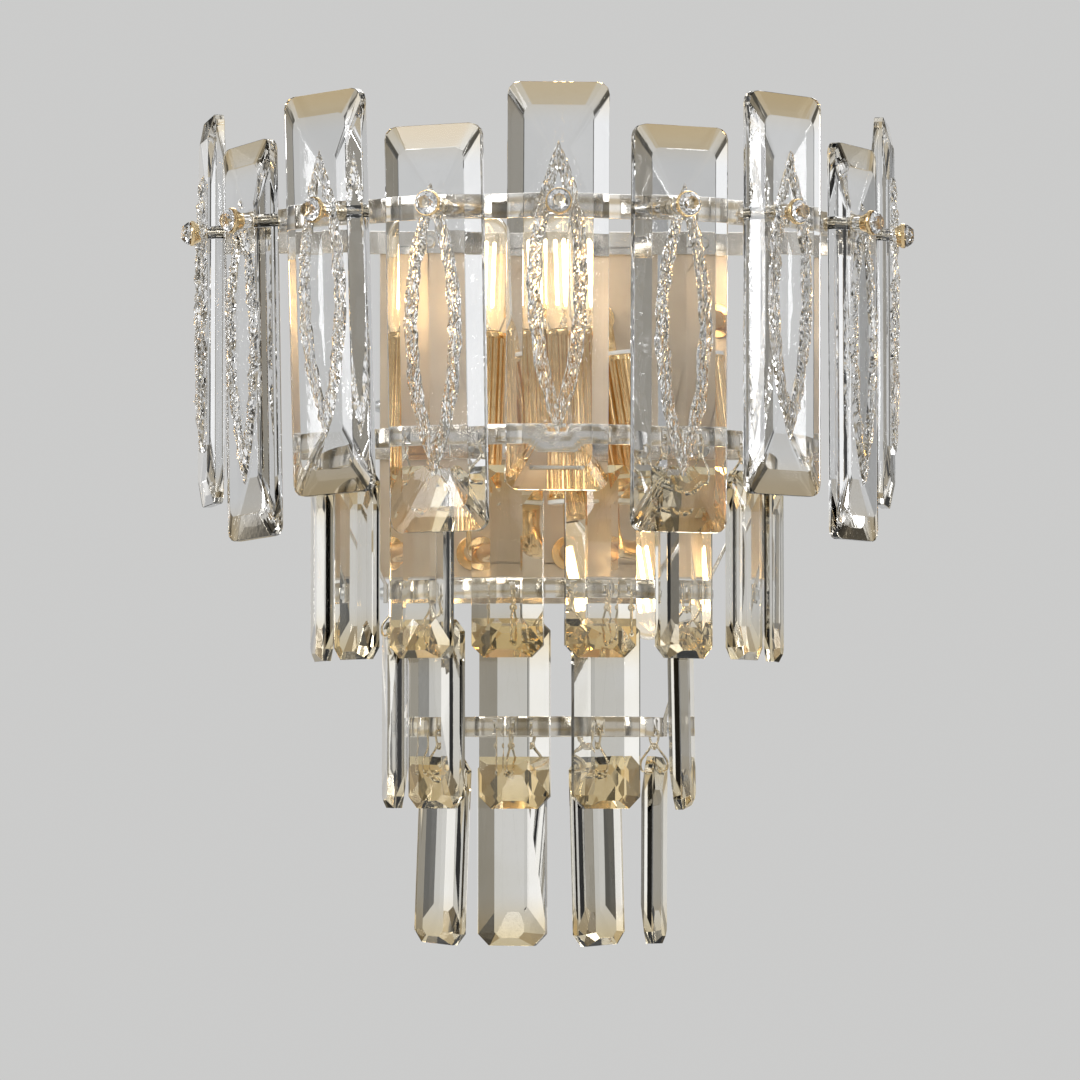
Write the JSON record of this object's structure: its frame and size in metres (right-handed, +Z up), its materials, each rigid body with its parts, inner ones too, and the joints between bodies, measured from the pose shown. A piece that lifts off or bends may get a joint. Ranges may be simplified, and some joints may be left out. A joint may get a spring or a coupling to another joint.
{
  "type": "wall sconce",
  "caption": "Tiered crystal wall light: bent metal bands on a back box carry pinned faceted glass bars and hooked glass pendants in front of lamps.",
  "frame": {"origin": "on the wall plane, midway between the two wall screws, behind the middle of the back box", "axes": "+X to the right as the light is seen, +Y into the wall, +Z up"},
  "size_m": [0.3794, 0.2281, 0.4264],
  "materials": {
    "clear_crystal": "polished",
    "round_stone": "polished",
    "bulb_glass": "polished",
    "polished_band": "polished",
    "polished_wire": "polished",
    "gold_trim": "polished",
    "zinc_steel": "satin",
    "champagne_satin": "satin",
    "terminal_plastic": "matte",
    "holder_ceramic": "gloss",
    "lamp_cap": "satin"
  },
  "bodies": {
    "root": {"mounting_bracket": "zinc_steel", "back_box": "champagne_satin", "terminal_block": "terminal_plastic", "ring_1": "polished_band", "ring_2": "polished_band", "ring_3": "polished_band", "ring_4": "polished_band", "side_struts": "polished_band", "frame_screws": "zinc_steel", "bar_studs": "polished_band", "stud_caps": "gold_trim", "cap_crystals": "round_stone", "lamp_arms": "gold_trim", "lamp_holders": "holder_ceramic", "lamp_sleeves": "gold_trim", "bulb_bases": "lamp_cap", "bulb_glasses": "bulb_glass"},
    "bar_1": {"bar_1": "clear_crystal"},
    "bar_2": {"bar_2": "clear_crystal"},
    "bar_3": {"bar_3": "clear_crystal"},
    "bar_4": {"bar_4": "clear_crystal"},
    "bar_5": {"bar_5": "clear_crystal"},
    "bar_6": {"bar_6": "clear_crystal"},
    "bar_7": {"bar_7": "clear_crystal"},
    "bar_8": {"bar_8": "clear_crystal"},
    "bar_9": {"bar_9": "clear_crystal"},
    "tier_2_hook_1": {"tier_2_hook_1": "polished_wire"},
    "tier_2_crystal_1": {"tier_2_crystal_1": "clear_crystal"},
    "tier_2_hook_2": {"tier_2_hook_2": "polished_wire"},
    "tier_2_crystal_2": {"tier_2_crystal_2": "clear_crystal"},
    "tier_2_hook_3": {"tier_2_hook_3": "polished_wire"},
    "tier_2_crystal_3": {"tier_2_crystal_3": "clear_crystal"},
    "tier_2_hook_4": {"tier_2_hook_4": "polished_wire"},
    "tier_2_crystal_4": {"tier_2_crystal_4": "clear_crystal"},
    "tier_2_hook_5": {"tier_2_hook_5": "polished_wire"},
    "tier_2_crystal_5": {"tier_2_crystal_5": "clear_crystal"},
    "tier_2_hook_6": {"tier_2_hook_6": "polished_wire"},
    "tier_2_crystal_6": {"tier_2_crystal_6": "clear_crystal"},
    "tier_2_hook_7": {"tier_2_hook_7": "polished_wire"},
    "tier_2_crystal_7": {"tier_2_crystal_7": "clear_crystal"},
    "tier_2_hook_8": {"tier_2_hook_8": "polished_wire"},
    "tier_2_crystal_8": {"tier_2_crystal_8": "clear_crystal"},
    "tier_3_hook_1": {"tier_3_hook_1": "polished_wire"},
    "tier_3_crystal_1": {"tier_3_crystal_1": "clear_crystal"},
    "tier_3_hook_2": {"tier_3_hook_2": "polished_wire"},
    "tier_3_crystal_2": {"tier_3_crystal_2": "clear_crystal"},
    "tier_3_hook_3": {"tier_3_hook_3": "polished_wire"},
    "tier_3_crystal_3": {"tier_3_crystal_3": "clear_crystal"},
    "tier_3_hook_4": {"tier_3_hook_4": "polished_wire"},
    "tier_3_crystal_4": {"tier_3_crystal_4": "clear_crystal"},
    "tier_3_hook_5": {"tier_3_hook_5": "polished_wire"},
    "tier_3_crystal_5": {"tier_3_crystal_5": "clear_crystal"},
    "tier_4_hook_1": {"tier_4_hook_1": "polished_wire"},
    "tier_4_crystal_1": {"tier_4_crystal_1": "clear_crystal"},
    "tier_4_hook_2": {"tier_4_hook_2": "polished_wire"},
    "tier_4_crystal_2": {"tier_4_crystal_2": "clear_crystal"},
    "tier_4_hook_3": {"tier_4_hook_3": "polished_wire"},
    "tier_4_crystal_3": {"tier_4_crystal_3": "clear_crystal"},
    "tier_4_hook_4": {"tier_4_hook_4": "polished_wire"},
    "tier_4_crystal_4": {"tier_4_crystal_4": "clear_crystal"}
  },
  "joints": [
    {"name": "bar_1_turn", "type": "hinge", "parent": "root", "child": "bar_1", "pos_m": [-0.17234, -0.06639, 0.085], "axis": [-0.9848, -0.1736, 0], "range_deg": [-2.3, 2.3]},
    {"name": "bar_2_turn", "type": "hinge", "parent": "root", "child": "bar_2", "pos_m": [-0.15155, -0.1235, 0.085], "axis": [-0.866, -0.5, 0], "range_deg": [-4.4, 0.5]},
    {"name": "bar_3_turn", "type": "hinge", "parent": "root", "child": "bar_3", "pos_m": [-0.11249, -0.17006, 0.085], "axis": [-0.6428, -0.766, 0], "range_deg": [-4.4, 0.5]},
    {"name": "bar_4_turn", "type": "hinge", "parent": "root", "child": "bar_4", "pos_m": [-0.05985, -0.20045, 0.085], "axis": [-0.342, -0.9397, 0], "range_deg": [-3.3, 1.3]},
    {"name": "bar_5_turn", "type": "hinge", "parent": "root", "child": "bar_5", "pos_m": [0, -0.211, 0.085], "axis": [0, -1, 0], "range_deg": [-2, 2.6]},
    {"name": "bar_6_turn", "type": "hinge", "parent": "root", "child": "bar_6", "pos_m": [0.05985, -0.20045, 0.085], "axis": [0.342, -0.9397, 0], "range_deg": [-2, 2.6]},
    {"name": "bar_7_turn", "type": "hinge", "parent": "root", "child": "bar_7", "pos_m": [0.11249, -0.17006, 0.085], "axis": [0.6428, -0.766, 0], "range_deg": [-2, 2.6]},
    {"name": "bar_8_turn", "type": "hinge", "parent": "root", "child": "bar_8", "pos_m": [0.15155, -0.1235, 0.085], "axis": [0.866, -0.5, 0], "range_deg": [-2.6, 2]},
    {"name": "bar_9_turn", "type": "hinge", "parent": "root", "child": "bar_9", "pos_m": [0.17234, -0.06639, 0.085], "axis": [0.9848, -0.1736, 0], "range_deg": [-2.3, 2.3]},
    {"name": "tier_2_hook_1_swing", "type": "hinge", "parent": "root", "child": "tier_2_hook_1", "pos_m": [-0.11573, -0.05902, -0.0255], "axis": [-0.9808, -0.1951, 0], "range_deg": [-2.5, 2.5]},
    {"name": "tier_2_crystal_1_swing", "type": "hinge", "parent": "tier_2_hook_1", "child": "tier_2_crystal_1", "pos_m": [-0.11573, -0.05902, -0.0475], "axis": [-0.9808, -0.1951, 0], "range_deg": [-2.5, 2.5]},
    {"name": "tier_2_hook_2_swing", "type": "hinge", "parent": "root", "child": "tier_2_hook_2", "pos_m": [-0.09811, -0.10156, -0.0255], "axis": [-0.8315, -0.5556, 0], "range_deg": [-2.5, 2.5]},
    {"name": "tier_2_crystal_2_swing", "type": "hinge", "parent": "tier_2_hook_2", "child": "tier_2_crystal_2", "pos_m": [-0.09811, -0.10156, -0.0475], "axis": [-0.8315, -0.5556, 0], "range_deg": [-2.5, 2.5]},
    {"name": "tier_2_hook_3_swing", "type": "hinge", "parent": "root", "child": "tier_2_hook_3", "pos_m": [-0.06556, -0.13411, -0.0255], "axis": [-0.5556, -0.8315, 0], "range_deg": [-2.5, 2.5]},
    {"name": "tier_2_crystal_3_swing", "type": "hinge", "parent": "tier_2_hook_3", "child": "tier_2_crystal_3", "pos_m": [-0.06556, -0.13411, -0.0475], "axis": [-0.5556, -0.8315, 0], "range_deg": [-2.5, 2.5]},
    {"name": "tier_2_hook_4_swing", "type": "hinge", "parent": "root", "child": "tier_2_hook_4", "pos_m": [-0.02302, -0.15173, -0.0255], "axis": [-0.1951, -0.9808, 0], "range_deg": [-2.5, 2.5]},
    {"name": "tier_2_crystal_4_swing", "type": "hinge", "parent": "tier_2_hook_4", "child": "tier_2_crystal_4", "pos_m": [-0.02302, -0.15173, -0.0475], "axis": [-0.1951, -0.9808, 0], "range_deg": [-2.5, 2.5]},
    {"name": "tier_2_hook_5_swing", "type": "hinge", "parent": "root", "child": "tier_2_hook_5", "pos_m": [0.02302, -0.15173, -0.0255], "axis": [0.1951, -0.9808, 0], "range_deg": [-2.5, 2.5]},
    {"name": "tier_2_crystal_5_swing", "type": "hinge", "parent": "tier_2_hook_5", "child": "tier_2_crystal_5", "pos_m": [0.02302, -0.15173, -0.0475], "axis": [0.1951, -0.9808, 0], "range_deg": [-2.5, 2.5]},
    {"name": "tier_2_hook_6_swing", "type": "hinge", "parent": "root", "child": "tier_2_hook_6", "pos_m": [0.06556, -0.13411, -0.0255], "axis": [0.6428, -0.766, 0], "range_deg": [-2.5, 2.5]},
    {"name": "tier_2_crystal_6_swing", "type": "hinge", "parent": "tier_2_hook_6", "child": "tier_2_crystal_6", "pos_m": [0.06556, -0.13411, -0.0475], "axis": [0.6428, -0.766, 0], "range_deg": [-2.5, 2.5]},
    {"name": "tier_2_hook_7_swing", "type": "hinge", "parent": "root", "child": "tier_2_hook_7", "pos_m": [0.09811, -0.10156, -0.0255], "axis": [0.8746, -0.4848, 0], "range_deg": [-2.5, 2.5]},
    {"name": "tier_2_crystal_7_swing", "type": "hinge", "parent": "tier_2_hook_7", "child": "tier_2_crystal_7", "pos_m": [0.09811, -0.10156, -0.0475], "axis": [0.8746, -0.4848, 0], "range_deg": [-2.5, 2.5]},
    {"name": "tier_2_hook_8_swing", "type": "hinge", "parent": "root", "child": "tier_2_hook_8", "pos_m": [0.11573, -0.05902, -0.0255], "axis": [0.9808, -0.1951, 0], "range_deg": [-2.5, 2.5]},
    {"name": "tier_2_crystal_8_swing", "type": "hinge", "parent": "tier_2_hook_8", "child": "tier_2_crystal_8", "pos_m": [0.11573, -0.05902, -0.0475], "axis": [0.9808, -0.1951, 0], "range_deg": [-2.5, 2.5]},
    {"name": "tier_3_hook_1_swing", "type": "hinge", "parent": "root", "child": "tier_3_hook_1", "pos_m": [-0.07882, -0.0586, -0.101], "axis": [-0.9848, -0.1736, 0], "range_deg": [-2.5, 2.5]},
    {"name": "tier_3_crystal_1_swing", "type": "hinge", "parent": "tier_3_hook_1", "child": "tier_3_crystal_1", "pos_m": [-0.07882, -0.0586, -0.123], "axis": [-0.9848, -0.1736, 0], "range_deg": [-2.5, 2.5]},
    {"name": "tier_3_hook_2_swing", "type": "hinge", "parent": "root", "child": "tier_3_hook_2", "pos_m": [-0.05747, -0.09449, -0.101], "axis": [-0.7009, -0.7133, 0], "range_deg": [-2.5, 2.5]},
    {"name": "tier_3_crystal_2_swing", "type": "hinge", "parent": "tier_3_hook_2", "child": "tier_3_crystal_2", "pos_m": [-0.05747, -0.09449, -0.123], "axis": [-0.7009, -0.7133, 0], "range_deg": [-2.5, 2.5]},
    {"name": "tier_3_hook_3_swing", "type": "hinge", "parent": "root", "child": "tier_3_hook_3", "pos_m": [-0.01845, -0.1159, -0.101], "axis": [-0.225, -0.9744, 0], "range_deg": [-2.5, 2.5]},
    {"name": "tier_3_crystal_3_swing", "type": "hinge", "parent": "tier_3_hook_3", "child": "tier_3_crystal_3", "pos_m": [-0.01845, -0.1159, -0.123], "axis": [-0.225, -0.9744, 0], "range_deg": [-2.5, 2.5]},
    {"name": "tier_3_hook_4_swing", "type": "hinge", "parent": "root", "child": "tier_3_hook_4", "pos_m": [0.02737, -0.1133, -0.101], "axis": [0.3338, -0.9426, 0], "range_deg": [-2.5, 2.5]},
    {"name": "tier_3_crystal_4_swing", "type": "hinge", "parent": "tier_3_hook_4", "child": "tier_3_crystal_4", "pos_m": [0.02737, -0.1133, -0.123], "axis": [0.3338, -0.9426, 0], "range_deg": [-2.5, 2.5]},
    {"name": "tier_3_hook_5_swing", "type": "hinge", "parent": "root", "child": "tier_3_hook_5", "pos_m": [0.06676, -0.08362, -0.101], "axis": [0.9703, -0.2419, 0], "range_deg": [-2.5, 2.5]},
    {"name": "tier_3_crystal_5_swing", "type": "hinge", "parent": "tier_3_hook_5", "child": "tier_3_crystal_5", "pos_m": [0.06676, -0.08362, -0.123], "axis": [0.9703, -0.2419, 0], "range_deg": [-7.8, 0.5]},
    {"name": "tier_4_hook_1_swing", "type": "hinge", "parent": "root", "child": "tier_4_hook_1", "pos_m": [-0.05248, -0.06509, -0.1707], "axis": [-0.766, -0.6428, 0], "range_deg": [-2.5, 2.5]},
    {"name": "tier_4_crystal_1_swing", "type": "hinge", "parent": "tier_4_hook_1", "child": "tier_4_crystal_1", "pos_m": [-0.05248, -0.06509, -0.1927], "axis": [-0.766, -0.6428, 0], "range_deg": [-0.5, 5.6]},
    {"name": "tier_4_hook_2_swing", "type": "hinge", "parent": "root", "child": "tier_4_hook_2", "pos_m": [-0.01904, -0.0929, -0.1707], "axis": [-0.342, -0.9397, 0], "range_deg": [-2.5, 2.5]},
    {"name": "tier_4_crystal_2_swing", "type": "hinge", "parent": "tier_4_hook_2", "child": "tier_4_crystal_2", "pos_m": [-0.01904, -0.0929, -0.1927], "axis": [-0.342, -0.9397, 0], "range_deg": [-2.5, 2.5]},
    {"name": "tier_4_hook_3_swing", "type": "hinge", "parent": "root", "child": "tier_4_hook_3", "pos_m": [0.02248, -0.09163, -0.1707], "axis": [0.7314, -0.682, 0], "range_deg": [-2.5, 2.5]},
    {"name": "tier_4_crystal_3_swing", "type": "hinge", "parent": "tier_4_hook_3", "child": "tier_4_crystal_3", "pos_m": [0.02248, -0.09163, -0.1927], "axis": [0.7314, -0.682, 0], "range_deg": [-4.7, 0.5]},
    {"name": "tier_4_hook_4_swing", "type": "hinge", "parent": "root", "child": "tier_4_hook_4", "pos_m": [0.05481, -0.0604, -0.1707], "axis": [0.9703, -0.2419, 0], "range_deg": [-2.5, 2.5]},
    {"name": "tier_4_crystal_4_swing", "type": "hinge", "parent": "tier_4_hook_4", "child": "tier_4_crystal_4", "pos_m": [0.05481, -0.0604, -0.1927], "axis": [0.9703, -0.2419, 0], "range_deg": [-0.9, 4.1]}
  ]
}
